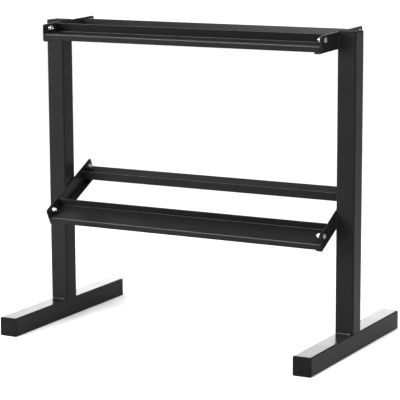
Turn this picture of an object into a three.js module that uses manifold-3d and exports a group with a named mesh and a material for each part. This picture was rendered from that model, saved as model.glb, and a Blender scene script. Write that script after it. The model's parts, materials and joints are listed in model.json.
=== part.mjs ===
// A two-tier dumbbell rack: two welded steel end frames, joined by four bolted sheet-steel rails.
// Millimetres, +Z up. The origin is on the floor under the middle of the rack, +X runs along the rails
// to the right end frame, and +Y runs to the back.
import * as THREE from "three";
import { mergeVertices } from "three/addons/utils/BufferGeometryUtils.js";
import Module from "manifold-3d";

// ---- Driving dimensions ----

// Square tube of the feet and uprights
const TUBE_SIDE = 50;
const TUBE_WALL = 2;
const TUBE_CORNER = 4;

// End frames
const UPRIGHT_SPACING = 855; // between the centres of the two uprights
const FOOT_LENGTH = 550; // over both end caps
const UPRIGHT_TOP = 817; // height of the uprights over their caps

// Plastic end caps
const CAP_HEAD = 3;
const CAP_EDGE = 0.8; // chamfer round the head
const CAP_PLUG_DEPTH = 14;
const CAP_PLUG_WALL = 2;

// Tiers: how high the middle of the brackets is, how far it is behind the uprights' centre line,
// and how far the tier leans forward, in degrees
const TIERS = [
  { name: "upper", height: 793, setback: 5, lean: 1.5 },
  { name: "lower", height: 350, setback: 0, lean: 26.5 },
];

// Brackets: steel angle with its flange turned in under the rails
const BRACKET_LENGTH = 250;
const BRACKET_HEIGHT = 45;
const BRACKET_SHEET = 4;
const FLANGE_WIDTH = 20;
const BRACKET_BEND = 2.5; // radius of the sheet's middle line
const BRACKET_CORNER = 5;

// Rails: folded sheet with an outer leg turned down, a floor and an inner lip turned up over it
const RAIL_SHEET = 3;
const RAIL_DEPTH = 66; // to the outside of the lip's fold
const RAIL_FLOOR = 21; // height of the floor's top above the bracket's underside
const RAIL_LIP_TOP = 43; // height of the lip's top above the bracket's underside
const RAIL_LIP_LEAN = 10; // degrees by which the lip leans over the floor
const RAIL_BEND = 3; // radius of the sheet's middle line
const RAIL_END_GAP = 0.5; // between the rail and the bracket's plate
const TAB_WIDTH = 36;
const TAB_CORNER = 8;

// M8 fasteners, one at each end of each rail
const BOLT_INSET = 22; // from the bracket's end
const BOLT_HEIGHT = 32.5; // above the bracket's underside
const BOLT_DIAMETER = 8;
const BOLT_LENGTH = 20;
const BOLT_POINT = 1; // chamfer at the thread's end
const BOLT_HOLE = 9;
const BOLT_HEAD_DIAMETER = 14;
const BOLT_HEAD_HEIGHT = 4.4;
const BOLT_HEAD_RIM = 0.6;
const BOLT_HEAD_FLAT = 7.6; // diameter of the head's flat top
const SOCKET_FLATS = 5;
const SOCKET_DEPTH = 2.6;
const WASHER_DIAMETER = 16;
const WASHER_THICKNESS = 1.6;
const NUT_FLATS = 13;
const NUT_HEIGHT = 6.5;

// Weld beads
const BASE_WELD_LEG = 4.5;
const BASE_WELD_LENGTH = 42;
const BRACKET_WELD_LEG = 4; // reach along the bracket's plate and along the upright's face
const BRACKET_WELD_MARGIN = 6; // from the plate's top and bottom edges

const FIT_GAP = 0.3; // clearance of pieces that fit into, or rest on, each other
const ARC_STEPS = 2; // half the number of steps in a quarter of a corner
const ROUND_STEPS = 16; // steps in a full circle

// ---- Derived dimensions ----

const HALF_TUBE = TUBE_SIDE / 2;
const UPRIGHT_X = UPRIGHT_SPACING / 2;
const PLATE_OUTER_X = UPRIGHT_X - HALF_TUBE; // the brackets' plates lie on the uprights' inner faces
const PLATE_INNER_X = PLATE_OUTER_X - BRACKET_SHEET;
const RAIL_END_X = PLATE_INNER_X - RAIL_END_GAP;
const FOOT_TUBE_LENGTH = FOOT_LENGTH - 2 * CAP_HEAD;
const UPRIGHT_LENGTH = UPRIGHT_TOP - CAP_HEAD - TUBE_SIDE;
const RAIL_LEG_BOTTOM = BRACKET_SHEET + FIT_GAP;

// ---- Materials ----

const paint = new THREE.MeshStandardMaterial({ color: 0x1c1c1d, roughness: 0.4, metalness: 0.1 });
const plastic = new THREE.MeshStandardMaterial({ color: 0x161616, roughness: 0.55, metalness: 0 });
const zinc = new THREE.MeshStandardMaterial({ color: 0xc9ccd0, roughness: 0.25, metalness: 1 });

// ---- Joining and cutting ----

const wasm = await Module();
wasm.setup();

// A closed geometry as a solid that can be joined and cut.
function solidFrom(geometry) {
  const bare = geometry.clone();
  bare.deleteAttribute("normal");
  bare.deleteAttribute("uv");
  const merged = mergeVertices(bare);
  const mesh = new wasm.Mesh({
    numProp: 3,
    vertProperties: merged.getAttribute("position").array,
    triVerts: new Uint32Array(merged.index.array),
  });
  return new wasm.Manifold(mesh);
}

// A joined or cut solid as a flat-shaded geometry.
function geometryFrom(solid) {
  const mesh = solid.getMesh();
  const indexed = new THREE.BufferGeometry();
  indexed.setAttribute("position", new THREE.BufferAttribute(mesh.vertProperties, 3));
  indexed.setIndex(new THREE.BufferAttribute(mesh.triVerts, 1));
  const geometry = indexed.toNonIndexed();
  geometry.computeVertexNormals();
  return geometry;
}

// ---- Outlines ----

// A rectangle with its four corners rounded, centred on the origin.
function roundedRectangle(width, height, radius, outline = new THREE.Shape()) {
  const x = width / 2 - radius;
  const y = height / 2 - radius;
  outline.moveTo(width / 2, -y);
  outline.lineTo(width / 2, y);
  outline.absarc(x, y, radius, 0, Math.PI / 2, false);
  outline.absarc(-x, y, radius, Math.PI / 2, Math.PI, false);
  outline.absarc(-x, -y, radius, Math.PI, 1.5 * Math.PI, false);
  outline.absarc(x, -y, radius, 1.5 * Math.PI, 2 * Math.PI, false);
  return outline;
}

// A rectangle with only its two upper corners rounded: x is centred, and y starts at the base.
function roundTopped(width, height, radius) {
  const x = width / 2 - radius;
  const y = height - radius;
  const outline = new THREE.Shape();
  outline.moveTo(-width / 2, 0);
  outline.lineTo(width / 2, 0);
  outline.lineTo(width / 2, y);
  outline.absarc(x, y, radius, 0, Math.PI / 2, false);
  outline.absarc(-x, y, radius, Math.PI / 2, Math.PI, false);
  return outline;
}

// The edge of a folded sheet. The corners are those of its middle line, and the outline goes along one side
// of that line and back along the other.
function foldedSheet(corners, thickness, bend) {
  const outline = new THREE.Shape();
  const directions = corners.slice(1).map((corner, i) => corner.clone().sub(corners[i]).normalize());
  const beside = (point, direction, side) =>
    new THREE.Vector2(point.x - direction.y * side, point.y + direction.x * side);

  const foldArc = (i, side, forward) => {
    const before = directions[i - 1];
    const after = directions[i];
    const fold = Math.atan2(before.cross(after), before.dot(after));
    const turn = Math.sign(fold);
    const bendStart = corners[i].clone().addScaledVector(before, -bend * Math.tan(Math.abs(fold) / 2));
    const centre = beside(bendStart, before, turn * bend);
    const radius = bend - turn * side;
    const entry = Math.atan2(-before.x * turn, before.y * turn);
    const [start, end] = forward ? [entry, entry + fold] : [entry + fold, entry];
    outline.lineTo(centre.x + radius * Math.cos(start), centre.y + radius * Math.sin(start));
    outline.absarc(centre.x, centre.y, radius, start, end, forward ? turn < 0 : turn > 0);
  };

  const last = corners.length - 1;
  const half = thickness / 2;
  const start = beside(corners[0], directions[0], -half);
  outline.moveTo(start.x, start.y);
  for (let i = 1; i < last; i++) foldArc(i, -half, true);
  for (const side of [-half, half]) {
    const end = beside(corners[last], directions[last - 1], side);
    outline.lineTo(end.x, end.y);
  }
  for (let i = last - 1; i > 0; i--) foldArc(i, half, false);
  const finish = beside(corners[0], directions[0], half);
  outline.lineTo(finish.x, finish.y);
  return outline;
}

function hexagon(flats) {
  const radius = flats / Math.sqrt(3);
  const corners = Array.from({ length: 6 }, (_, i) => {
    const angle = (i * Math.PI) / 3;
    return new THREE.Vector2(radius * Math.cos(angle), radius * Math.sin(angle));
  });
  return new THREE.Shape(corners);
}

function withHole(outline, diameter) {
  const hole = new THREE.Path();
  hole.absarc(0, 0, diameter / 2, 0, 2 * Math.PI, true);
  outline.holes.push(hole);
  return outline;
}

// ---- Solids in their own axes ----

function extruded(outline, depth, curveSegments = ARC_STEPS) {
  return new THREE.ExtrudeGeometry(outline, { depth, curveSegments, bevelEnabled: false });
}

// An outline drawn in Y and Z, extruded along X and centred on X = 0.
function extrudedAlongX(outline, length) {
  const geometry = extruded(outline, length);
  geometry.translate(0, 0, -length / 2);
  geometry.rotateZ(Math.PI / 2);
  geometry.rotateY(Math.PI / 2);
  return geometry;
}

// A square tube that stands on Z = 0.
function squareTube(length) {
  const outline = roundedRectangle(TUBE_SIDE, TUBE_SIDE, TUBE_CORNER);
  const bore = TUBE_SIDE - 2 * TUBE_WALL;
  outline.holes.push(roundedRectangle(bore, bore, TUBE_CORNER - TUBE_WALL, new THREE.Path()));
  return extruded(outline, length);
}

// An end cap whose head stands on Z = 0, and whose hollow plug hangs down into the tube.
function endCap() {
  const core = TUBE_SIDE - 2 * CAP_EDGE;
  const head = new THREE.ExtrudeGeometry(roundedRectangle(core, core, TUBE_CORNER - CAP_EDGE), {
    depth: CAP_HEAD - CAP_EDGE,
    curveSegments: ARC_STEPS,
    bevelSize: CAP_EDGE,
    bevelThickness: CAP_EDGE,
    bevelSegments: 1,
  });
  const plugSide = TUBE_SIDE - 2 * (TUBE_WALL + FIT_GAP);
  const hollowSide = plugSide - 2 * CAP_PLUG_WALL;
  const plug = roundedRectangle(plugSide, plugSide, TUBE_CORNER - TUBE_WALL);
  plug.holes.push(roundedRectangle(hollowSide, hollowSide, CAP_EDGE, new THREE.Path()));
  const joined = CAP_PLUG_DEPTH + CAP_EDGE; // the plug runs on into the head
  const walls = extruded(plug, joined);
  walls.translate(0, 0, -CAP_PLUG_DEPTH);
  const below = new THREE.BoxGeometry(2 * TUBE_SIDE, 2 * TUBE_SIDE, CAP_EDGE);
  below.translate(0, 0, -CAP_EDGE / 2);
  return geometryFrom(solidFrom(head).subtract(solidFrom(below)).add(solidFrom(walls)));
}

// A cylinder along X that is wide enough to cut a bolt hole through everything at one end of a rail.
function boltHole(x, y, z) {
  const length = 2 * FLANGE_WIDTH;
  const cutter = new THREE.CylinderGeometry(BOLT_HOLE / 2, BOLT_HOLE / 2, length, ROUND_STEPS);
  cutter.rotateZ(Math.PI / 2);
  cutter.translate(x, y, z);
  return solidFrom(cutter);
}

// The tiers' own axes: X as the rack's, Y along the brackets and Z square to them, from their middle.
const tierZ = (aboveUnderside) => aboveUnderside - BRACKET_HEIGHT / 2;
const BOLT_Y = BRACKET_LENGTH / 2 - BOLT_INSET;

// The right-hand bracket of a tier: the angle, its plate's upper corners rounded and its two holes drilled.
function bracket() {
  const middle = BRACKET_SHEET / 2;
  const angle = foldedSheet(
    [
      new THREE.Vector2(PLATE_OUTER_X - FLANGE_WIDTH, middle),
      new THREE.Vector2(PLATE_OUTER_X - middle, middle),
      new THREE.Vector2(PLATE_OUTER_X - middle, BRACKET_HEIGHT),
    ],
    BRACKET_SHEET,
    BRACKET_BEND,
  );
  const section = extruded(angle, BRACKET_LENGTH);
  section.rotateX(Math.PI / 2);
  section.translate(0, BRACKET_LENGTH / 2, tierZ(0));

  const side = extrudedAlongX(roundTopped(BRACKET_LENGTH, BRACKET_HEIGHT, BRACKET_CORNER), 2 * FLANGE_WIDTH);
  side.translate(PLATE_OUTER_X - FLANGE_WIDTH / 2, 0, tierZ(0));

  let solid = solidFrom(section).intersect(solidFrom(side));
  for (const y of [-BOLT_Y, BOLT_Y]) {
    solid = solid.subtract(boltHole(PLATE_INNER_X, y, tierZ(BOLT_HEIGHT)));
  }
  return geometryFrom(solid);
}

// The front rail of a tier: the folded sheet, with a drilled tab turned up at each end.
function rail() {
  const middle = RAIL_SHEET / 2;
  const outer = -BRACKET_LENGTH / 2;
  const lipFoot = new THREE.Vector2(outer + RAIL_DEPTH - middle, tierZ(RAIL_FLOOR - middle));
  const lipRise = tierZ(RAIL_LIP_TOP) - lipFoot.y;
  const lipShift = lipRise * Math.tan(THREE.MathUtils.degToRad(RAIL_LIP_LEAN));
  const profile = foldedSheet(
    [
      new THREE.Vector2(outer + middle, tierZ(RAIL_LEG_BOTTOM)),
      new THREE.Vector2(outer + middle, tierZ(RAIL_FLOOR - middle)),
      lipFoot,
      new THREE.Vector2(lipFoot.x - lipShift, tierZ(RAIL_LIP_TOP)),
    ],
    RAIL_SHEET,
    RAIL_BEND,
  );
  let solid = solidFrom(extrudedAlongX(profile, 2 * RAIL_END_X));

  const tabFoot = RAIL_FLOOR - RAIL_SHEET / 2; // inside the floor's thickness
  for (const end of [-1, 1]) {
    const tab = extrudedAlongX(roundTopped(TAB_WIDTH, RAIL_LIP_TOP - tabFoot, TAB_CORNER), RAIL_SHEET);
    tab.translate(end * (RAIL_END_X - middle), -BOLT_Y, tierZ(tabFoot));
    solid = solid.add(solidFrom(tab)).subtract(boltHole(end * RAIL_END_X, -BOLT_Y, tierZ(BOLT_HEIGHT)));
  }
  return geometryFrom(solid);
}

// A button-head bolt: its head is on +Z, and its shank hangs down from Z = 0.
function bolt() {
  const half = BOLT_DIAMETER / 2;
  const rim = new THREE.Vector2(BOLT_HEAD_DIAMETER / 2, BOLT_HEAD_RIM);
  const shoulder = new THREE.Vector2(BOLT_HEAD_DIAMETER / 2, BOLT_HEAD_HEIGHT);
  const crown = new THREE.Vector2(BOLT_HEAD_FLAT / 2, BOLT_HEAD_HEIGHT);
  const dome = new THREE.QuadraticBezierCurve(rim, shoulder, crown).getPoints(ARC_STEPS + 1);
  const profile = [
    new THREE.Vector2(0, -BOLT_LENGTH),
    new THREE.Vector2(half - BOLT_POINT, -BOLT_LENGTH),
    new THREE.Vector2(half, BOLT_POINT - BOLT_LENGTH),
    new THREE.Vector2(half, 0),
    new THREE.Vector2(BOLT_HEAD_DIAMETER / 2, 0),
    ...dome,
    new THREE.Vector2(0, BOLT_HEAD_HEIGHT),
  ];
  const turned = new THREE.LatheGeometry(profile, ROUND_STEPS);
  turned.rotateX(Math.PI / 2);
  const socket = extruded(hexagon(SOCKET_FLATS), BOLT_HEAD_HEIGHT);
  socket.translate(0, 0, BOLT_HEAD_HEIGHT - SOCKET_DEPTH);
  return geometryFrom(solidFrom(turned).subtract(solidFrom(socket)));
}

// Washer and nut both hang down from Z = 0.
function washer() {
  const disc = new THREE.Shape();
  disc.absarc(0, 0, WASHER_DIAMETER / 2, 0, 2 * Math.PI, false);
  const geometry = extruded(withHole(disc, BOLT_DIAMETER + 2 * FIT_GAP), WASHER_THICKNESS, ROUND_STEPS / 2);
  geometry.translate(0, 0, -WASHER_THICKNESS);
  return geometry;
}

function nut() {
  const outline = withHole(hexagon(NUT_FLATS), BOLT_DIAMETER + 2 * FIT_GAP);
  const geometry = extruded(outline, NUT_HEIGHT, ROUND_STEPS / 2);
  geometry.translate(0, 0, -NUT_HEIGHT);
  return geometry;
}

// The bead between a foot's top and an upright's front face: its corner is at the origin, it reaches
// towards -Y and +Z, and it is centred along X.
function baseWeld() {
  const leg = BASE_WELD_LEG;
  const outline = new THREE.Shape();
  outline.moveTo(-FIT_GAP, FIT_GAP);
  outline.lineTo(-FIT_GAP, leg);
  outline.quadraticCurveTo(-0.7 * leg, 0.7 * leg, -leg, FIT_GAP);
  return extrudedAlongX(outline, BASE_WELD_LENGTH);
}

// The upright bead in the groove between a right-hand bracket's plate and the rounded front corner of
// the upright. The corner's apex is at the origin, with the plate on -X and the bead reaching to -Y.
function bracketWeld(length) {
  const leg = BRACKET_WELD_LEG;
  const radius = TUBE_CORNER + FIT_GAP;
  const grooveAngle = Math.acos((TUBE_CORNER - FIT_GAP) / radius);
  const outline = new THREE.Shape();
  outline.moveTo(FIT_GAP, -leg);
  outline.quadraticCurveTo(0.8 * leg, -0.8 * leg, TUBE_CORNER + 1, -FIT_GAP);
  outline.lineTo(TUBE_CORNER, -FIT_GAP);
  outline.absarc(TUBE_CORNER, TUBE_CORNER, radius, 1.5 * Math.PI, Math.PI + grooveAngle, true);
  const geometry = extruded(outline, length);
  geometry.translate(0, 0, -length / 2);
  return geometry;
}

// ---- Assembly ----

const rack = new THREE.Group();

function addPiece(parent, name, geometry, material, x = 0, y = 0, z = 0) {
  const mesh = new THREE.Mesh(geometry, material);
  mesh.name = name;
  mesh.position.set(x, y, z);
  parent.add(mesh);
  return mesh;
}

// One end frame: the foot, the upright, their caps and the beads between them.
function addEndFrame(sideName, x) {
  const half = FOOT_TUBE_LENGTH / 2;
  const foot = addPiece(rack, `${sideName}_foot`, squareTube(FOOT_TUBE_LENGTH), paint, x, half, HALF_TUBE);
  foot.rotation.x = Math.PI / 2;
  addPiece(rack, `${sideName}_upright`, squareTube(UPRIGHT_LENGTH), paint, x, 0, TUBE_SIDE);
  addPiece(rack, `${sideName}_upright_cap`, endCap(), plastic, x, 0, UPRIGHT_TOP - CAP_HEAD);
  for (const [endName, end] of [["front", -1], ["rear", 1]]) {
    const cap = addPiece(rack, `${sideName}_foot_${endName}_cap`, endCap(), plastic, x, end * half, HALF_TUBE);
    cap.rotation.x = (-end * Math.PI) / 2;
    const weld = addPiece(rack, `${sideName}_base_${endName}_weld`, baseWeld(), paint, x, end * HALF_TUBE, TUBE_SIDE);
    weld.rotation.z = end > 0 ? Math.PI : 0;
  }
}

// One end of a rail: bolt, washer and nut, on the axis through the bracket's and the rail's holes.
function addFastener(group, prefix, y) {
  const z = tierZ(BOLT_HEIGHT);
  const washerX = RAIL_END_X - RAIL_SHEET;
  const stack = [
    ["bolt", bolt(), PLATE_OUTER_X],
    ["washer", washer(), washerX],
    ["nut", nut(), washerX - WASHER_THICKNESS],
  ];
  for (const [kind, geometry, x] of stack) {
    addPiece(group, `${prefix}_${kind}`, geometry, zinc, x, y, z).rotation.y = Math.PI / 2;
  }
}

// The beads that hold a bracket's plate to its upright, one on each side of the tube.
function addBracketWelds(side, prefix, tier) {
  const lean = THREE.MathUtils.degToRad(tier.lean);
  const length = BRACKET_HEIGHT / Math.cos(lean) - 2 * BRACKET_WELD_MARGIN;
  for (const [faceName, face] of [["front", -1], ["rear", 1]]) {
    const y = face * HALF_TUBE;
    const z = tier.height + (y - tier.setback) * Math.tan(lean);
    const name = `${prefix}_${faceName}_weld`;
    const weld = addPiece(rack, name, bracketWeld(length), paint, side * PLATE_OUTER_X, y, z);
    weld.scale.set(side, -face, 1);
  }
}

// One tier: a bracket on each upright, the two rails between them and the fasteners. Its far end and its
// rear rail are the near ones turned half round.
function addTier(tier) {
  const axes = new THREE.Group();
  axes.position.set(0, tier.setback, tier.height);
  axes.rotation.x = THREE.MathUtils.degToRad(tier.lean);
  rack.add(axes);

  for (const [sideName, side] of [["left", -1], ["right", 1]]) {
    const prefix = `${tier.name}_${sideName}`;
    const end = new THREE.Group();
    end.rotation.z = side < 0 ? Math.PI : 0;
    axes.add(end);
    addPiece(end, `${prefix}_bracket`, bracket(), paint);
    addFastener(end, `${prefix}_front`, -side * BOLT_Y);
    addFastener(end, `${prefix}_rear`, side * BOLT_Y);
    addBracketWelds(side, `${prefix}_bracket`, tier);
  }
  addPiece(axes, `${tier.name}_front_rail`, rail(), paint);
  addPiece(axes, `${tier.name}_rear_rail`, rail(), paint).rotation.z = Math.PI;
}

addEndFrame("left", -UPRIGHT_X);
addEndFrame("right", UPRIGHT_X);
TIERS.forEach(addTier);

export default rack;
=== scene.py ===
"""The looks of a two-tier dumbbell rack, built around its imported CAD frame.

Shapes are worked out in millimetres and become metres when their mesh is made. +X runs along the rails
to the right end frame, +Y to the back and +Z up.
"""
import json
import math
from functools import partial

import bmesh
import bpy
from mathutils import Matrix, Vector, noise
from mathutils.geometry import tessellate_polygon

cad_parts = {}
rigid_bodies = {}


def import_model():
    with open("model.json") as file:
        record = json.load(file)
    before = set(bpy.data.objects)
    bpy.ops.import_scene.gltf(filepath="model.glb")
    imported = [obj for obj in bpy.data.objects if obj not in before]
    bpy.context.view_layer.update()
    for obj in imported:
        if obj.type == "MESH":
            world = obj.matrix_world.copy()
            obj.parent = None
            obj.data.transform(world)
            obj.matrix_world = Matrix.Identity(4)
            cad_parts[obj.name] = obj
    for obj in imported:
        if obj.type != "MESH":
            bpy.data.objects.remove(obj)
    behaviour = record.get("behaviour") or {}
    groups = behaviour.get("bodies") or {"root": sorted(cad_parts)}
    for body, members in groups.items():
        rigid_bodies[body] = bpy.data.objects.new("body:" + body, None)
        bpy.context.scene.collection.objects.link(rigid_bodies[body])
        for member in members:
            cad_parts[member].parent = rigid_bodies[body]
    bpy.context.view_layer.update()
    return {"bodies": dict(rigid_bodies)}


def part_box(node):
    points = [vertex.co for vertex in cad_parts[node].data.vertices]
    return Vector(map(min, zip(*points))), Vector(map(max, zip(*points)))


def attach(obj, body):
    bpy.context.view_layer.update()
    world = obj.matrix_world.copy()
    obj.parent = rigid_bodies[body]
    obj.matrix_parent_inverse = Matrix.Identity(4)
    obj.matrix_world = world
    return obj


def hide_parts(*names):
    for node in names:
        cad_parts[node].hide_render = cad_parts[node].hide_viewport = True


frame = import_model()

# ---- Driving dimensions, in millimetres ----

MM = 0.001  # in metres
(BODY,) = frame["bodies"]  # nothing moves, so the rack is one body
SIDES = (("left", -1), ("right", 1))
ENDS = (("front", -1), ("rear", 1))
TIERS = ("upper", "lower")
X, Y, Z = range(3)
X_AXIS = Vector((1, 0, 0))
Y_AXIS = Vector((0, 1, 0))
Z_AXIS = Vector((0, 0, 1))

# Square tube
TUBE_WALL = 2.0
TUBE_CORNER = 4.0

# Plastic end caps
CAP_HEAD = 3.0
CAP_EDGE = 1.4  # fillet round the head
CAP_SEAT_EDGE = 0.4  # chamfer where the head sits on the tube, which leaves a fine joint line
CAP_CROWN = 0.15  # rise of the head's face to its middle
CROWN_RINGS = (0.75, 0.4, 0.1)  # the rings of the head's face, as shares of its size
PLUG_DEPTH = 14.0
PLUG_GAP = 0.6  # between the fins and the tube's bore, over both sides
PLUG_WALL = 2.2
PLUG_ROOF = 0.75  # height to which the plug's hollow reaches into the head
PLUG_LEAD = 1.0  # height of the plug's tapered tip, and how much it narrows over both sides
FIN_REACH = 1.1
FIN_THICKNESS = 1.2
FIN_COUNT = 3
FIN_START = 0.25  # the lowest fin's height above the plug's tip, as a share of the fins' spacing
FIN_SECTION = ((0, -0.6), (1, -0.5), (1, 0.3), (0, 0.5))  # reach and height, as shares of a fin's own

# Brackets: steel angle
BRACKET_SHEET = 4.0
BRACKET_BEND = 2.5  # radius of the sheet's middle line
BRACKET_HEIGHT = 45.0
BRACKET_UNDERSIDE_DROP = 32.5  # from the bolts' axis down to the bracket's underside
BRACKET_CORNER = 5.0
FLANGE_WIDTH = 20.0
FLANGE_CORNER = 3.0

# Rails: folded sheet
RAIL_SHEET = 3.0
RAIL_BEND = 3.0  # radius of the sheet's middle line
RAIL_DEPTH = 66.0  # to the outside of the lip's bend
RAIL_FLOOR_DROP = 11.5  # from the bolts' axis down to the top of the rail's floor
RAIL_LEG_DROP = 28.2  # from the bolts' axis down to the leg's lower edge
RAIL_LIP_RISE = 10.5  # from the bolts' axis up to the lip's top edge
RAIL_LIP_LEAN = math.radians(10)  # inwards, over the floor
BOLT_INSET = 22.0  # from the rail's outer face
LEG_CORNER = 2.0
LIP_CORNER = 3.0
TAB_WIDTH = 32.0
TAB_CORNER = 8.0
NOTCH_WIDTH = 1.5  # relief beside the tab's fold
NOTCH_DEPTH = 1.5
SHEET_EDGE = 0.6  # rounding of cut edges under the paint

# M8 fasteners
BOLT_HOLE = 9.0
SHANK = 3.95  # radius over the thread
THREAD_PITCH = 1.25
THREAD_DEPTH = 0.62
THREAD_CREST = 0.15  # what the flat crest takes off a sharp thread, as a share of its depth
THREAD_LENGTH = 13.0
THREAD_RUNOUT = 1.0
BOLT_LENGTH = 20.0
BOLT_POINT = 1.0
HEAD = 7.0  # radius
HEAD_HEIGHT = 4.4
HEAD_RIM = 0.6
HEAD_SEAT_EDGE = 0.2
HEAD_FLAT = 3.8  # radius of the flat round the socket
SOCKET_FLATS = 5.0
SOCKET_DEPTH = 2.6
SOCKET_EDGE = 0.25
SOCKET_TIP = 0.2  # width of the floor in the socket's tapered end, as a share of the socket's
SOCKET_TIP_DEPTH = 0.5
WASHER = 8.0  # radius
WASHER_BORE = 4.3
WASHER_EDGE = 0.3
NUT_FLATS = 13.0
NUT_FACE = 0.96  # width of its end faces, as a share of its flats
NUT_BORE = 4.1
NUT_BORE_EDGE = 0.5
NUT_EDGE_DEPTH = 0.75  # height over which its corners are turned off
NUT_EDGE_SLOPE = math.tan(math.radians(30))
FASTENER_TURN = 37.0  # degrees from one fastener's flats to the next one's

# Weld beads
BASE_WELD_LEG = 4.5
BASE_WELD_BULGE = 0.22  # how far the face stands out at its middle, as a share of the legs
BRACKET_WELD_LEG = 4.0  # along the bracket's plate
BRACKET_WELD_SPREAD = 5.0  # over the upright's rounded corner
BRACKET_WELD_BULGE = 0.12
RIPPLE_PITCH = 2.6
RIPPLE_DEPTH = 0.28
RIPPLE_REACH = 4.5  # size of bead whose ripples are as deep as that
RIPPLE_BOW = 0.5  # how far a ripple trails at its middle, as a share of the pitch
WANDER = 0.25  # how far a bead's face wanders in and out
WANDER_LENGTH = 9.0
BEAD_STEP = 0.43  # between the rings that make up a bead
BEAD_TAPER = 3.0  # length over which a bead's end thins out
BEAD_TIP = 0.35  # size of its end, as a share of the bead
FRAME_SEEDS = 5  # from one end frame's seeds for its beads to the next one's
TIER_SEEDS = 10

# Steps of curves
CORNER_STEPS = 8
BEND_STEPS = 8
EDGE_STEPS = 3
ROUND_STEPS = 48
THREAD_STEPS = 8
DOME_STEPS = 10
NUT_EDGE_STEPS = 5
BEAD_FACE_STEPS = 10

# Studio: places in metres, angles in degrees and the lens in millimetres
FLOOR_SIZE = 16.0
WORLD_STRENGTH = 1.25
CAMERA_PLACE = (2.2442, -4.1385, 1.2012)
CAMERA_AZIMUTH = 28.46
CAMERA_DOWN = 10.17
CAMERA_ROLL = -0.26
CAMERA_LENS = 163.8
CAMERA_RANGE = 60.0


# ---- Surfaces ----

class Surface:
    """Points in millimetres and the faces between them."""

    def __init__(self):
        self.points = []
        self.faces = []

    def add_ring(self, ring):
        first = len(self.points)
        self.points.extend(ring)
        return list(range(first, len(self.points)))


def lofted(rings, closed=False):
    """Rings of as many points each, joined one to the next. A closed loft also joins its last ring to its
    first, and an open one gets a face at both ends."""
    surface = Surface()
    loops = [surface.add_ring(ring) for ring in rings]
    pairs = list(zip(loops, loops[1:]))
    if closed:
        pairs.append((loops[-1], loops[0]))
    else:
        surface.faces += [loops[0][::-1], loops[-1]]
    for near, far in pairs:
        for i, j in zip(range(len(near)), [*range(1, len(near)), 0]):
            surface.faces.append([near[i], near[j], far[j], far[i]])
    return surface


def rounded_square(side, radius, z):
    """A square ring with rounded corners, about the Z axis."""
    straight = side / 2 - radius
    ring = []
    for quarter, (x, y) in enumerate(((1, 1), (-1, 1), (-1, -1), (1, -1))):
        for step in range(CORNER_STEPS + 1):
            angle = (quarter + step / CORNER_STEPS) * math.pi / 2
            ring.append(Vector((
                x * straight + radius * math.cos(angle),
                y * straight + radius * math.sin(angle),
                z,
            )))
    return ring


def round_ring(radius, z):
    """A ring about the Z axis. Its radius is a number, or a function of the angle."""
    ring = []
    for step in range(ROUND_STEPS):
        angle = 2 * math.pi * step / ROUND_STEPS
        reach = radius(angle) if callable(radius) else radius
        ring.append(Vector((reach * math.cos(angle), reach * math.sin(angle), z)))
    return ring


def hexagon_radius(flats, angle):
    """How far a hexagon reaches at an angle, with a corner at angle 0."""
    sixth = math.pi / 3
    return flats / 2 / math.cos(angle % sixth - sixth / 2)


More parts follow.
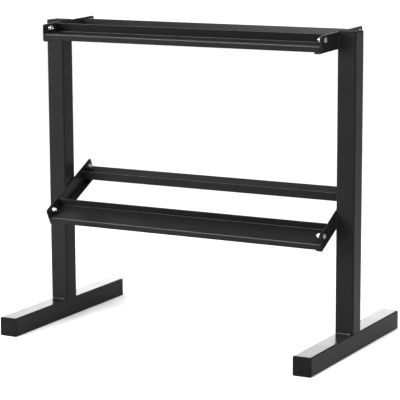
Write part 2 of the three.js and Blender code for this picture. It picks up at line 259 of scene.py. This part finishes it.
class Sheet:
    """Folded sheet metal: flat panels and bends of its middle surface, which solid() thickens to both
    sides and closes with rounded edges."""

    def __init__(self, thickness):
        self.thickness = thickness
        self.points = []
        self.normals = []
        self.faces = []
        self.known = {}

    def add_point(self, place, normal):
        """A point's number. Panels and bends that meet share their points."""
        key = tuple(round(c, 3) for c in place)
        if key not in self.known:
            self.known[key] = len(self.points)
            self.points.append(place)
            self.normals.append(normal)
        return self.known[key]

    def add_panel(self, outline, normal, holes=()):
        """A flat panel. Its outline runs anticlockwise seen from its normal."""
        loops = [outline, *holes]
        flat = [self.add_point(place, normal) for loop in loops for place in loop]
        if not holes:
            self.faces.append(flat)
            return
        for a, b, c in tessellate_polygon(loops):
            corners = [flat[a], flat[b], flat[c]]
            pa, pb, pc = (self.points[i] for i in corners)
            turned = (pb - pa).cross(pc - pa).dot(normal)
            self.faces.append(corners if turned > 0 else corners[::-1])

    def add_flap(self, hinge, outward, normal, turn, bend, reach, corner, holes=(), fold=math.pi / 2):
        """A bend along the hinge's points, and the round-cornered panel after it. outward lies in the
        hinge's panel and points away from it, normal is that panel's, and turn is 1 for a bend towards the
        normal and -1 for one away from it. bend is the bend's radius and fold its angle, and reach is how
        far the panel runs on from it. Each hole is how far it lies along the hinge, how far from the bend,
        and its radius."""
        if (hinge[-1] - hinge[0]).cross(outward).dot(normal) < 0:
            hinge = hinge[::-1]
        rows = []
        for step in range(BEND_STEPS + 1):
            angle = step / BEND_STEPS * fold
            shift = outward * bend * math.sin(angle) + normal * turn * bend * (1 - math.cos(angle))
            facing = normal * math.cos(angle) - outward * turn * math.sin(angle)
            rows.append([self.add_point(place + shift, facing) for place in hinge])
        for near, far in zip(rows, rows[1:]):
            for i in range(len(hinge) - 1):
                self.faces.append([near[i], near[i + 1], far[i + 1], far[i]])

        base = [place + shift for place in hinge]
        along = (base[-1] - base[0]).normalized()
        rise = outward * math.cos(fold) + normal * turn * math.sin(fold)
        top = []
        for end, centre in ((0, base[-1] - along * corner), (1, base[0] + along * corner)):
            for step in range(CORNER_STEPS + 1):
                angle = (end + step / CORNER_STEPS) * math.pi / 2
                swing = along * math.cos(angle) + rise * math.sin(angle)
                top.append(centre + rise * (reach - corner) + swing * corner)
        cut = []
        for at, height, radius in holes:
            centre = base[0] + along * at + rise * height
            rim = []
            for step in range(ROUND_STEPS):
                angle = 2 * math.pi * step / ROUND_STEPS
                rim.append(centre + (along * math.cos(angle) - rise * math.sin(angle)) * radius)
            cut.append(rim)
        self.add_panel([*base, *top], facing, cut)

    def solid(self):
        """The thickened sheet. Along its open edges the two sides step in and a round runs between them.
        stations lists the round's points, each as how far aside from the edge, in shares of SHEET_EDGE, and
        how far up from the sheet's middle."""
        surface = Surface()
        half = self.thickness / 2
        edges = [(a, b) for face in self.faces for a, b in zip(face, [*face[1:], face[0]])]
        shared = set(edges)
        after = {a: b for a, b in edges if (b, a) not in shared}
        before = {b: a for a, b in after.items()}

        arc = [math.pi / 2 * (1 - step / EDGE_STEPS) for step in range(EDGE_STEPS + 1)]
        stations = [(math.cos(angle) - 1, half - SHEET_EDGE * (1 - math.sin(angle))) for angle in arc]
        stations += [(aside, -up) for aside, up in reversed(stations)]

        rims = {}
        for i, (place, normal) in enumerate(zip(self.points, self.normals)):
            if i in after:
                entry = (place - self.points[before[i]]).cross(normal).normalized()
                leave = (self.points[after[i]] - place).cross(normal).normalized()
                out = (entry + leave) / (1 + entry.dot(leave))
                ring = [place + out * SHEET_EDGE * aside + normal * up for aside, up in stations]
            else:
                ring = [place + normal * half, place - normal * half]
            rims[i] = surface.add_ring(ring)
        for face in self.faces:
            surface.faces.append([rims[i][0] for i in face])
            surface.faces.append([rims[i][-1] for i in reversed(face)])
        for a, b in after.items():
            for near in range(len(stations) - 1):
                surface.faces.append([rims[b][near], rims[a][near], rims[a][near + 1], rims[b][near + 1]])
        return surface


# ---- Pieces ----

def make_piece(name, surface, place, material, slot, node):
    """Makes a surface into a mesh piece at its place, riding on the rack and standing for a CAD node."""
    shape = bmesh.new()
    corners = [shape.verts.new((place @ point) * MM) for point in surface.points]
    for face in surface.faces:
        shape.faces.new([corners[i] for i in face])
    bmesh.ops.recalc_face_normals(shape, faces=shape.faces)
    for face in shape.faces:
        face.smooth = True
    mesh = bpy.data.meshes.new(name)
    shape.to_mesh(mesh)
    shape.free()
    mesh.materials.append(material)
    piece = bpy.data.objects.new(name, mesh)
    bpy.context.scene.collection.objects.link(piece)
    shading = piece.modifiers.new("even_shading", "WEIGHTED_NORMAL")
    shading.mode = "FACE_AREA_WITH_ANGLE"
    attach(piece, BODY)
    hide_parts(node)


def corners_of(node):
    """A CAD node's lowest and highest corners, in millimetres."""
    return [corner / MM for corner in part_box(node)]


def middle_of(node):
    low, high = corners_of(node)
    return (low + high) / 2


def size_of(node, axis):
    low, high = corners_of(node)
    return high[axis] - low[axis]


def face_of(node, axis, side):
    """Where a CAD node ends along an axis, on its low side (-1) or its high side (1)."""
    low, high = corners_of(node)
    return high[axis] if side > 0 else low[axis]


# ---- Materials ----

# Most of a noise's values lie between these
NOISE_LOW = 0.35
NOISE_HIGH = 0.65


def new_material(name):
    """A material with its shader, its link function and its object coordinates."""
    material = bpy.data.materials.new(name)
    material.use_nodes = True
    nodes = material.node_tree.nodes
    shader = nodes["Principled BSDF"]
    place = nodes.new("ShaderNodeTexCoord").outputs["Object"]
    return material, nodes, material.node_tree.links.new, shader, place


def add_noise(nodes, link, place, scale, detail=2.0, roughness=0.5, stretch=None):
    texture = nodes.new("ShaderNodeTexNoise")
    texture.inputs["Scale"].default_value = scale
    texture.inputs["Detail"].default_value = detail
    texture.inputs["Roughness"].default_value = roughness
    if stretch:
        mapping = nodes.new("ShaderNodeMapping")
        mapping.inputs["Scale"].default_value = stretch
        link(place, mapping.inputs["Vector"])
        place = mapping.outputs["Vector"]
    link(place, texture.inputs["Vector"])
    return texture.outputs["Fac"]


def add_range(nodes, link, value, low, high):
    """Spreads a noise over low to high."""
    spread = nodes.new("ShaderNodeMapRange")
    link(value, spread.inputs["Value"])
    spread.inputs["From Min"].default_value = NOISE_LOW
    spread.inputs["From Max"].default_value = NOISE_HIGH
    spread.inputs["To Min"].default_value = low
    spread.inputs["To Max"].default_value = high
    return spread.outputs["Result"]


def add_tone(nodes, link, value, dark, light):
    """Blends two colours by a noise."""
    ramp = nodes.new("ShaderNodeValToRGB")
    ramp.color_ramp.elements[0].position = NOISE_LOW
    ramp.color_ramp.elements[1].position = NOISE_HIGH
    ramp.color_ramp.elements[0].color = (*dark, 1)
    ramp.color_ramp.elements[1].color = (*light, 1)
    link(value, ramp.inputs["Fac"])
    return ramp.outputs["Color"]


def add_bump(nodes, link, height, distance, strength, under=None):
    bump = nodes.new("ShaderNodeBump")
    bump.inputs["Distance"].default_value = distance
    bump.inputs["Strength"].default_value = strength
    link(height, bump.inputs["Height"])
    if under:
        link(under, bump.inputs["Normal"])
    return bump.outputs["Normal"]


def powder_coat():
    """Satin black powder coat: an orange-peel surface with a fine grain and slightly uneven gloss."""
    material, nodes, link, shader, place = new_material("black_powder_coat")
    shader.inputs["IOR"].default_value = 1.115
    clouds = add_noise(nodes, link, place, scale=14, detail=4)
    grain = add_noise(nodes, link, place, scale=2400, detail=2)
    peel = add_noise(nodes, link, place, scale=620, detail=1)
    tone = add_tone(nodes, link, grain, dark=(0.008, 0.008, 0.0082), light=(0.0105, 0.0105, 0.0109))
    gloss = add_range(nodes, link, clouds, low=0.20, high=0.24)
    rough = add_bump(nodes, link, grain, distance=0.00001, strength=0.08)
    relief = add_bump(nodes, link, peel, distance=0.00002, strength=0.1, under=rough)
    link(tone, shader.inputs["Base Color"])
    link(gloss, shader.inputs["Roughness"])
    link(relief, shader.inputs["Normal"])
    return material


def moulded_plastic():
    """Black polyethylene with a spark-eroded grain."""
    material, nodes, link, shader, place = new_material("black_moulded_plastic")
    shader.inputs["IOR"].default_value = 1.1
    grain = add_noise(nodes, link, place, scale=1500, detail=3, roughness=0.6)
    flow = add_noise(nodes, link, place, scale=60, detail=3)
    tone = add_tone(nodes, link, flow, dark=(0.004, 0.004, 0.004), light=(0.006, 0.006, 0.0061))
    gloss = add_range(nodes, link, grain, low=0.55, high=0.68)
    relief = add_bump(nodes, link, grain, distance=0.00004, strength=0.5)
    link(tone, shader.inputs["Base Color"])
    link(gloss, shader.inputs["Roughness"])
    link(relief, shader.inputs["Normal"])
    return material


def zinc_plate():
    """Bright zinc plating: a faintly blue metal with fine turning marks and soft stains."""
    material, nodes, link, shader, place = new_material("bright_zinc_plate")
    shader.inputs["Metallic"].default_value = 1.0
    stain = add_noise(nodes, link, place, scale=260, detail=4)
    marks = add_noise(nodes, link, place, scale=900, detail=3, stretch=(6.0, 1.0, 1.0))
    tone = add_tone(nodes, link, stain, dark=(0.20, 0.205, 0.215), light=(0.32, 0.325, 0.335))
    gloss = add_range(nodes, link, stain, low=0.2, high=0.32)
    relief = add_bump(nodes, link, marks, distance=0.00003, strength=0.4)
    link(tone, shader.inputs["Base Color"])
    link(gloss, shader.inputs["Roughness"])
    link(relief, shader.inputs["Normal"])
    return material


PAINT = (powder_coat(), "frame_paint")
PLASTIC = (moulded_plastic(), "cap_plastic")
ZINC = (zinc_plate(), "fastener_zinc")


# ---- Tubes and end caps ----

def tube_surface(side, length):
    """A square tube centred on the origin, along Z."""
    bore = side - 2 * TUBE_WALL
    bore_corner = TUBE_CORNER - TUBE_WALL
    rings = []
    for width, corner, ends in ((side, TUBE_CORNER, (-1, 1)), (bore, bore_corner, (1, -1))):
        rings += [rounded_square(width, corner, end * length / 2) for end in ends]
    return lofted(rings, closed=True)


def cap_surface(side):
    """An end cap: its head stands on Z = 0 and its finned, hollow plug reaches down into the tube."""
    core = side - 2 * TUBE_WALL - PLUG_GAP - 2 * FIN_REACH
    hollow = core - 2 * PLUG_WALL
    corner = TUBE_CORNER - TUBE_WALL
    rings = [
        rounded_square(hollow, corner / 2, PLUG_ROOF),
        rounded_square(hollow, corner / 2, -PLUG_DEPTH),
        rounded_square(core - PLUG_LEAD, corner, -PLUG_DEPTH),
        rounded_square(core, corner, PLUG_LEAD - PLUG_DEPTH),
    ]
    for fin in range(FIN_COUNT):
        middle = PLUG_DEPTH * ((fin + FIN_START) / FIN_COUNT - 1)
        for reach, height in FIN_SECTION:
            width = core + 2 * FIN_REACH * reach
            rings.append(rounded_square(width, corner, middle + height * FIN_THICKNESS))
    rings += [
        rounded_square(core, corner, 0),
        rounded_square(side - 2 * CAP_SEAT_EDGE, TUBE_CORNER - CAP_SEAT_EDGE, 0),
        rounded_square(side, TUBE_CORNER, CAP_SEAT_EDGE),
    ]
    shoulder = CAP_HEAD - CAP_CROWN - CAP_EDGE
    for step in range(CORNER_STEPS + 1):
        angle = step / CORNER_STEPS * math.pi / 2
        inset = CAP_EDGE * (1 - math.cos(angle))
        height = shoulder + CAP_EDGE * math.sin(angle)
        rings.append(rounded_square(side - 2 * inset, TUBE_CORNER - inset, height))
    face = side - 2 * CAP_EDGE
    face_corner = TUBE_CORNER - CAP_EDGE
    for share in CROWN_RINGS:
        rings.append(rounded_square(face * share, face_corner * share, CAP_HEAD - CAP_CROWN * share ** 2))
    return lofted(rings)


# ---- Weld beads ----

def bead_surface(section, length, seed):
    """A weld bead along Z, centred on the origin: ripples laid one over the other, and thinner ends.
    section lists the bead's outline in X and Y with its root corner first; the ripples leave the root."""
    rings = []
    count = round(length / BEAD_STEP)
    root = Vector((*section[0], 0))
    for step in range(count + 1):
        z = (step / count - 0.5) * length
        wave = (z / RIPPLE_PITCH) % 1
        ripple = RIPPLE_DEPTH * (1 - wave) ** 2
        wander = WANDER * noise.noise(Vector((seed, z / WANDER_LENGTH, 0)))
        to_end = min(length / 2 - abs(z), BEAD_TAPER) / BEAD_TAPER
        size = BEAD_TIP + (1 - BEAD_TIP) * math.sin(to_end * math.pi / 2)
        bow = RIPPLE_BOW * RIPPLE_PITCH if to_end == 1 else 0.0
        ring = []
        for i, (x, y) in enumerate(section):
            across = Vector((x, y, 0)) - root
            middling = math.sin(math.pi * i / len(section))
            swell = 1 - (ripple - wander) / RIPPLE_REACH * middling
            ring.append(root + across * size * swell + Vector((0, 0, z - bow * middling)))
        rings.append(ring)
    return lofted(rings)


def bead_section(leg_x, leg_y, bulge):
    """A fillet bead's section: its root corner at the origin and its legs along +X and +Y."""
    outline = [(0.0, 0.0)]
    for step in range(BEAD_FACE_STEPS + 1):
        share = step / BEAD_FACE_STEPS
        lift = 1 + bulge * math.sin(math.pi * share)
        outline.append((leg_x * (1 - share) * lift, leg_y * share * lift))
    return outline


# ---- End frames ----

def add_end_frame(side_name, seed):
    """A foot and its upright, their caps and the beads between them."""
    foot = f"{side_name}_foot"
    upright = f"{side_name}_upright"
    side = size_of(foot, Z)
    foot_middle = middle_of(foot)
    upright_middle = middle_of(upright)

    lying = Matrix.Rotation(math.pi / 2, 4, "X")
    make_piece(
        f"{foot}_tube", tube_surface(side, size_of(foot, Y)),
        Matrix.Translation(foot_middle) @ lying, *PAINT, foot,
    )
    make_piece(
        f"{upright}_tube", tube_surface(side, size_of(upright, Z)),
        Matrix.Translation(upright_middle), *PAINT, upright,
    )
    upright_end = Vector((upright_middle.x, upright_middle.y, face_of(upright, Z, 1)))
    make_piece(
        f"{upright}_end_cap", cap_surface(side),
        Matrix.Translation(upright_end), *PLASTIC, f"{upright}_cap",
    )
    for end_name, end in ENDS:
        facing = Matrix.Rotation(-end * math.pi / 2, 4, "X")
        foot_end = Vector((foot_middle.x, face_of(foot, Y, end), foot_middle.z))
        make_piece(
            f"{foot}_{end_name}_end_cap", cap_surface(side),
            Matrix.Translation(foot_end) @ facing, *PLASTIC, f"{foot}_{end_name}_cap",
        )
        weld = f"{side_name}_base_{end_name}_weld"
        section = bead_section(BASE_WELD_LEG, BASE_WELD_LEG, BASE_WELD_BULGE)
        root = Vector((middle_of(weld).x, face_of(upright, Y, end), face_of(foot, Z, 1)))
        across = Matrix(((0, 0, 1, 0), (end, 0, 0, 0), (0, 1, 0, 0), (0, 0, 0, 1)))
        make_piece(
            f"{side_name}_base_{end_name}_bead", bead_surface(section, size_of(weld, X), seed + end),
            Matrix.Translation(root) @ across, *PAINT, weld,
        )


# ---- Brackets and rails ----

def tier_axes(tier):
    """A tier's own axes and how far its bolts lie to the front and rear of their origin, which is midway
    between them. X runs along the tier's rails, Y up along its brackets and Z square to both."""
    front = middle_of(f"{tier}_right_front_washer")
    rear = middle_of(f"{tier}_right_rear_washer")
    run = rear - front
    lean = math.atan2(run.z, run.y)
    middle = (front + rear) / 2
    place = Matrix.Translation((0, middle.y, middle.z)) @ Matrix.Rotation(lean, 4, "X")
    return place, run.length / 2


def bracket_surface(plate_outer, bolt_y):
    """The right-hand bracket: its flange turned in under the rails, and its plate with two bolt holes."""
    half = BRACKET_SHEET / 2
    reach = bolt_y + BOLT_INSET
    flange_level = half - BRACKET_UNDERSIDE_DROP
    hinge_x = plate_outer - half - BRACKET_BEND
    free_x = plate_outer - FLANGE_WIDTH
    plate_base = flange_level + BRACKET_BEND
    plate_height = BRACKET_HEIGHT - half - BRACKET_BEND

    sheet = Sheet(BRACKET_SHEET)
    hinge = [Vector((hinge_x, y, flange_level)) for y in (-reach, reach)]
    outline = list(hinge)
    for quarter, y in ((0, reach), (1, -reach)):
        inward = -1 if y > 0 else 1
        for step in range(CORNER_STEPS + 1):
            angle = (quarter + 1 + step / CORNER_STEPS) * math.pi / 2
            centre = Vector((free_x + FLANGE_CORNER, y + inward * FLANGE_CORNER, flange_level))
            outline.append(centre + Vector((math.cos(angle), math.sin(angle), 0)) * FLANGE_CORNER)
    sheet.add_panel(outline, Z_AXIS)
    holes = [(reach + at * bolt_y, -plate_base, BOLT_HOLE / 2) for at in (-1, 1)]
    sheet.add_flap(hinge, X_AXIS, Z_AXIS, 1, BRACKET_BEND, plate_height, BRACKET_CORNER, holes)
    return sheet.solid()


def rail_surface(end_x, bolt_y):
    """The front rail of a tier: a leg turned down, a floor, a lip turned up, and a tab at each end."""
    half = RAIL_SHEET / 2
    outer = -bolt_y - BOLT_INSET
    floor = -RAIL_FLOOR_DROP - half
    leg_y = outer + half + RAIL_BEND
    lip_fold = math.pi / 2 + RAIL_LIP_LEAN
    lip_setback = RAIL_BEND * math.tan(lip_fold / 2)
    lip_y = outer + RAIL_DEPTH - half - lip_setback
    fold_x = end_x - half - RAIL_BEND
    notch_x = fold_x - NOTCH_DEPTH
    tab_low = -bolt_y - TAB_WIDTH / 2
    tab_high = -bolt_y + TAB_WIDTH / 2

    end_edge = [
        (notch_x, leg_y),
        (notch_x, tab_low),
        (fold_x, tab_low),
        (fold_x, tab_high),
        (notch_x, tab_high),
        (notch_x, tab_high + NOTCH_WIDTH),
        (end_x, tab_high + NOTCH_WIDTH),
        (end_x, lip_y),
    ]
    outline = [Vector((x, y, floor)) for x, y in end_edge]
    outline += [Vector((-x, y, floor)) for x, y in reversed(end_edge)]

    sheet = Sheet(RAIL_SHEET)
    sheet.add_panel(outline, Z_AXIS)
    leg_hinge = [Vector((x, leg_y, floor)) for x in (-end_x, -notch_x, notch_x, end_x)]
    leg_reach = RAIL_LEG_DROP - RAIL_FLOOR_DROP - half - RAIL_BEND
    sheet.add_flap(leg_hinge, -Y_AXIS, Z_AXIS, -1, RAIL_BEND, leg_reach, LEG_CORNER)
    lip_hinge = [Vector((x, lip_y, floor)) for x in (-end_x, end_x)]
    rise = RAIL_LIP_RISE - floor
    lip_reach = rise / math.cos(RAIL_LIP_LEAN) - lip_setback
    sheet.add_flap(lip_hinge, Y_AXIS, Z_AXIS, 1, RAIL_BEND, lip_reach, LIP_CORNER, fold=lip_fold)
    tab_reach = rise - RAIL_BEND
    hole = (TAB_WIDTH / 2, -floor - RAIL_BEND, BOLT_HOLE / 2)
    for end in (-1, 1):
        tab_hinge = [Vector((end * fold_x, y, floor)) for y in (tab_low, tab_high)]
        sheet.add_flap(tab_hinge, X_AXIS * end, Z_AXIS, 1, RAIL_BEND, tab_reach, TAB_CORNER, [hole])
    return sheet.solid()


# ---- Fasteners ----

def thread_radius(z, angle):
    """The bolt's radius along its thread, which thins to its point at -BOLT_LENGTH."""
    phase = (z / THREAD_PITCH - angle / (2 * math.pi)) % 1
    groove = max(0.0, (1 + THREAD_CREST) * (1 - abs(2 * phase - 1)) - THREAD_CREST)
    point = SHANK - BOLT_POINT + z + BOLT_LENGTH
    return min(SHANK - THREAD_DEPTH * groove, point)


def bolt_surface():
    """A button-head bolt: its domed head with a hexagon socket on +Z, and its thread towards -Z."""
    rings = []
    step_length = THREAD_PITCH / THREAD_STEPS
    for step in range(round(THREAD_LENGTH / step_length) + 1):
        z = -BOLT_LENGTH + step * step_length
        rings.append(round_ring(partial(thread_radius, z), z))
    rings += [
        round_ring(SHANK, THREAD_LENGTH + THREAD_RUNOUT - BOLT_LENGTH),
        round_ring(SHANK, 0),
        round_ring(HEAD - HEAD_SEAT_EDGE, 0),
        round_ring(HEAD, HEAD_SEAT_EDGE),
    ]
    for step in range(DOME_STEPS + 1):
        share = step / DOME_STEPS
        radius = HEAD + (HEAD_FLAT - HEAD) * share ** 2
        height = HEAD_RIM + (HEAD_HEIGHT - HEAD_RIM) * (2 * share - share ** 2)
        rings.append(round_ring(radius, height))
    socket_corner = SOCKET_FLATS / math.sqrt(3)
    socket = partial(hexagon_radius, SOCKET_FLATS)
    socket_tip = partial(hexagon_radius, SOCKET_FLATS * SOCKET_TIP)
    bottom = HEAD_HEIGHT - SOCKET_DEPTH
    rings += [
        round_ring(socket_corner + SOCKET_EDGE, HEAD_HEIGHT),
        round_ring(socket, HEAD_HEIGHT - SOCKET_EDGE),
        round_ring(socket, bottom),
        round_ring(socket_tip, bottom - SOCKET_TIP_DEPTH),
    ]
    return lofted(rings)


def washer_surface(thickness):
    """A plain washer that hangs down from Z = 0."""
    rings = []
    for radius, inward in ((WASHER_BORE, 1), (WASHER, -1)):
        levels = [(WASHER_EDGE, 0), (0, WASHER_EDGE), (0, thickness - WASHER_EDGE), (WASHER_EDGE, thickness)]
        if inward > 0:
            levels.reverse()
        rings += [round_ring(radius + inward * step_in, -level) for step_in, level in levels]
    return lofted(rings, closed=True)


def nut_radius(height, level, angle):
    """A nut's radius at a depth below its top face: its hexagon, with the corners turned off to a cone."""
    to_end = min(level, height - level)
    cone = NUT_FACE * NUT_FLATS / 2 + to_end / NUT_EDGE_SLOPE
    return min(hexagon_radius(NUT_FLATS, angle), cone)


def nut_surface(height):
    """A hexagon nut that hangs down from Z = 0."""
    edge_levels = [NUT_EDGE_DEPTH * step / NUT_EDGE_STEPS for step in range(NUT_EDGE_STEPS + 1)]
    levels = edge_levels + [height - level for level in reversed(edge_levels)]
    rings = [
        round_ring(NUT_BORE, NUT_BORE_EDGE - height),
        round_ring(NUT_BORE, -NUT_BORE_EDGE),
        round_ring(NUT_BORE + NUT_BORE_EDGE, 0),
    ]
    rings += [round_ring(partial(nut_radius, height, level), -level) for level in levels]
    rings.append(round_ring(NUT_BORE + NUT_BORE_EDGE, -height))
    return lofted(rings, closed=True)


def add_fastener(bracket, fastener, side, turn):
    """The bolt, washer and nut at one end of a rail, on the axis that their CAD nodes share. The bolt's
    head is outside the bracket, and the washer and nut are inside the rail's tab."""
    washer = f"{fastener}_washer"
    nut = f"{fastener}_nut"
    axis = middle_of(washer)
    outward = Matrix.Rotation(side * math.pi / 2, 4, "Y") @ Matrix.Rotation(math.radians(turn), 4, "Z")
    parts = (
        ("bolt", bolt_surface(), bracket),
        ("washer", washer_surface(size_of(washer, X)), washer),
        ("nut", nut_surface(size_of(nut, X)), nut),
    )
    for kind, surface, seat in parts:
        place = Matrix.Translation((face_of(seat, X, side), axis.y, axis.z)) @ outward
        make_piece(f"{fastener}_{kind}_piece", surface, place, *ZINC, f"{fastener}_{kind}")


# ---- Tiers ----

def add_bracket_beads(tier, side_name, side, seed):
    """The upright beads between a bracket's plate and the rounded corners of its upright."""
    section = bead_section(BRACKET_WELD_SPREAD, BRACKET_WELD_LEG, BRACKET_WELD_BULGE)
    for end_name, end in ENDS:
        weld = f"{tier}_{side_name}_bracket_{end_name}_weld"
        root = Vector((face_of(weld, X, -side), face_of(f"{side_name}_upright", Y, end), middle_of(weld).z))
        across = Matrix(((side, 0, 0, 0), (0, end, 0, 0), (0, 0, 1, 0), (0, 0, 0, 1)))
        make_piece(
            f"{tier}_{side_name}_bracket_{end_name}_bead",
            bead_surface(section, size_of(weld, Z), seed + end),
            Matrix.Translation(root) @ across, *PAINT, weld,
        )


def add_tier(tier, index):
    """A tier's two rails, its two brackets with their beads, and a fastener at each end of each rail."""
    place, bolt_y = tier_axes(tier)
    half_turn = Matrix.Rotation(math.pi, 4, "Z")
    rail_end = face_of(f"{tier}_front_rail", X, 1)
    plate_outer = face_of(f"{tier}_right_bracket", X, 1)
    for end_name, end in ENDS:
        rail = f"{tier}_{end_name}_rail"
        turned = half_turn if end > 0 else Matrix()
        make_piece(f"{rail}_sheet", rail_surface(rail_end, bolt_y), place @ turned, *PAINT, rail)
    for side_index, (side_name, side) in enumerate(SIDES):
        bracket = f"{tier}_{side_name}_bracket"
        turned = half_turn if side < 0 else Matrix()
        surface = bracket_surface(plate_outer, bolt_y)
        make_piece(f"{bracket}_angle", surface, place @ turned, *PAINT, bracket)
        add_bracket_beads(tier, side_name, side, index * TIER_SEEDS + side)
        for end_index, (end_name, _) in enumerate(ENDS):
            number = (index * len(SIDES) + side_index) * len(ENDS) + end_index
            add_fastener(bracket, f"{tier}_{side_name}_{end_name}", side, FASTENER_TURN * number)


for index, (side_name, _) in enumerate(SIDES):
    add_end_frame(side_name, index * FRAME_SEEDS)
for index, tier in enumerate(TIERS):
    add_tier(tier, index)


# ---- Studio ----

def add_floor():
    """A plain pale floor with very faint clouds."""
    shape = bmesh.new()
    bmesh.ops.create_grid(shape, x_segments=8, y_segments=8, size=FLOOR_SIZE / 2)
    mesh = bpy.data.meshes.new("floor")
    shape.to_mesh(mesh)
    shape.free()
    material, nodes, link, shader, place = new_material("pale_floor")
    shader.inputs["Roughness"].default_value = 0.9
    shader.inputs["Specular IOR Level"].default_value = 0.0
    clouds = add_noise(nodes, link, place, scale=3)
    tone = add_tone(nodes, link, clouds, dark=(0.80, 0.80, 0.80), light=(0.82, 0.82, 0.82))
    link(tone, shader.inputs["Base Color"])
    mesh.materials.append(material)
    floor = bpy.data.objects.new("floor", mesh)
    bpy.context.scene.collection.objects.link(floor)


def add_softbox(name, size, location, aim, radiance, diffuse=True, glossy=True):
    """A rectangular soft light that the camera doesn't see. It lights matt surfaces only where diffuse is
    on, and shows in reflections only where glossy is."""
    light = bpy.data.lights.new(name, "AREA")
    light.shape = "RECTANGLE"
    light.size, light.size_y = size
    light.energy = radiance * math.pi * light.size * light.size_y
    lamp = bpy.data.objects.new(name, light)
    lamp.location = location
    lamp.rotation_euler = (Vector(aim) - Vector(location)).to_track_quat("-Z", "Y").to_euler()
    lamp.visible_camera = False
    lamp.visible_diffuse = diffuse
    lamp.visible_glossy = glossy
    bpy.context.scene.collection.objects.link(lamp)


def add_world():
    """Even white light from all round."""
    world = bpy.data.worlds.new("studio")
    world.use_nodes = True
    background = world.node_tree.nodes["Background"]
    background.inputs["Color"].default_value = (1, 1, 1, 1)
    background.inputs["Strength"].default_value = WORLD_STRENGTH
    bpy.context.scene.world = world


def add_camera():
    """A long lens to the front and right of the rack, a little above its top."""
    data = bpy.data.cameras.new("camera")
    data.lens = CAMERA_LENS
    data.clip_end = CAMERA_RANGE
    camera = bpy.data.objects.new("camera", data)
    camera.matrix_world = (
        Matrix.Translation(CAMERA_PLACE)
        @ Matrix.Rotation(math.radians(CAMERA_AZIMUTH), 4, "Z")
        @ Matrix.Rotation(math.radians(90 - CAMERA_DOWN), 4, "X")
        @ Matrix.Rotation(math.radians(CAMERA_ROLL), 4, "Z")
    )
    bpy.context.scene.collection.objects.link(camera)
    bpy.context.scene.camera = camera


add_floor()
add_world()
add_camera()
add_softbox(
    "low_rear_softbox", size=(2.6, 0.64), location=(-1.2, 1.5, 0.4), aim=(-1.2, 0, 0.4),
    radiance=5.9, diffuse=False,
)
add_softbox(
    "key_softbox", size=(2.2, 1.1), location=(-1.6, -2.2, 3.0), aim=(0, 0, 0.5),
    radiance=110.0, diffuse=False,
)
add_softbox(
    "front_softbox", size=(1.5, 1.0), location=(-0.9, -3.5, 1.35), aim=(0, 0, 0.8),
    radiance=34.0, diffuse=False,
)
add_softbox(
    "left_softbox", size=(1.0, 1.0), location=(-1.4, -1.6, 0.9), aim=(-0.43, 0, 0.5),
    radiance=27.0, glossy=False,
)
add_softbox(
    "overhead_softbox", size=(1.4, 1.4), location=(0.6, -0.4, 2.4), aim=(0.3, -0.1, 0),
    radiance=7.0, glossy=False,
)
bpy.context.scene.view_settings.view_transform = "Standard"
